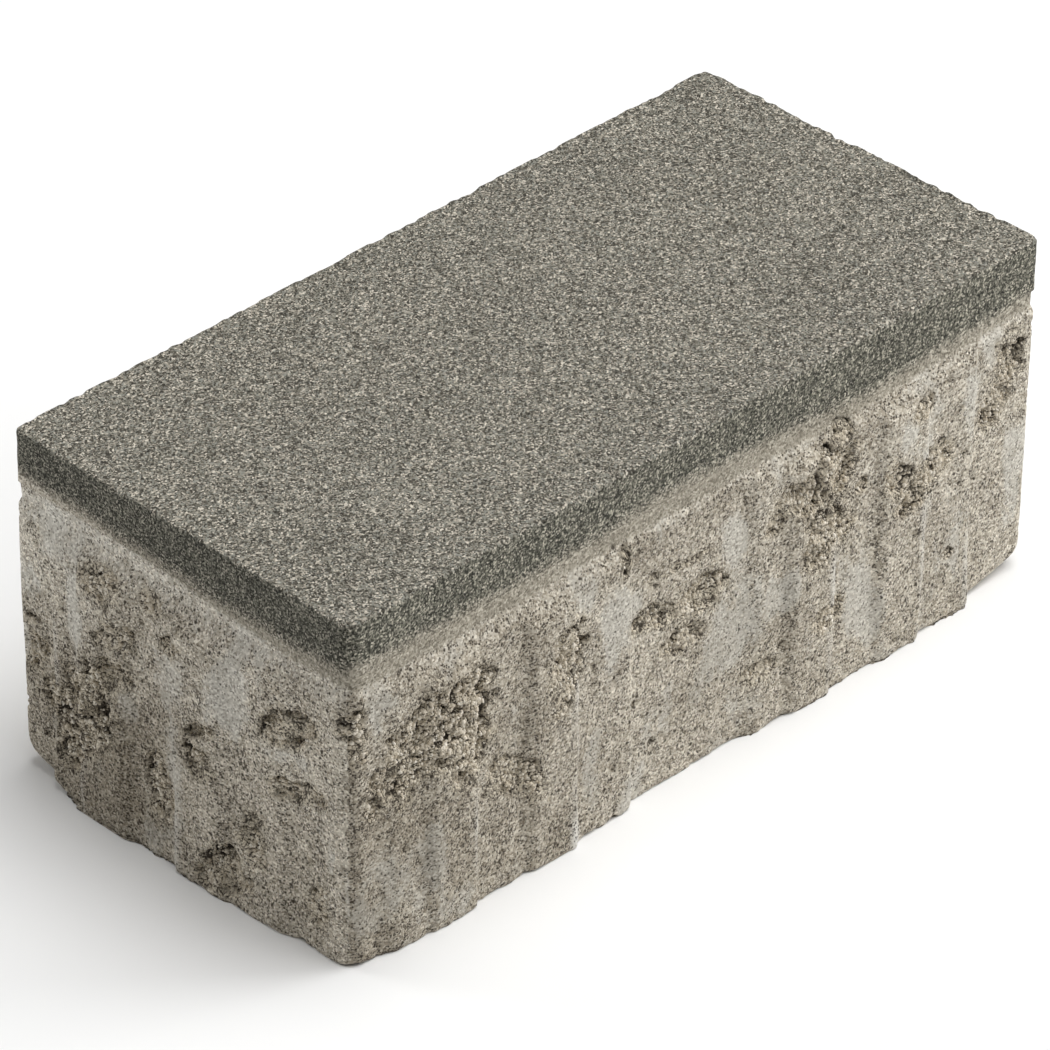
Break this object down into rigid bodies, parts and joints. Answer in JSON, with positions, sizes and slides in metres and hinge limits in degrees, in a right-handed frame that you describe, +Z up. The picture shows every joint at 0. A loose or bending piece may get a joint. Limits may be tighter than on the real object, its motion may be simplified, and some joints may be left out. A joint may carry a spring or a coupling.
{
  "type": "concrete paving stone",
  "caption": "Rectangular concrete paving stone with a dark facing layer on a pale core and vertical spacer ribs on its sides.",
  "frame": {"origin": "centre of the bed face, on the surface that the stone lies on", "axes": "+X along the stone's length, +Y along its width, +Z up to the wearing face"},
  "size_m": [0.2, 0.1, 0.08],
  "materials": {
    "facing_concrete": "matte",
    "core_concrete": "matte"
  },
  "bodies": {
    "root": {"facing_layer": "facing_concrete", "core_body": "core_concrete"}
  },
  "joints": []
}
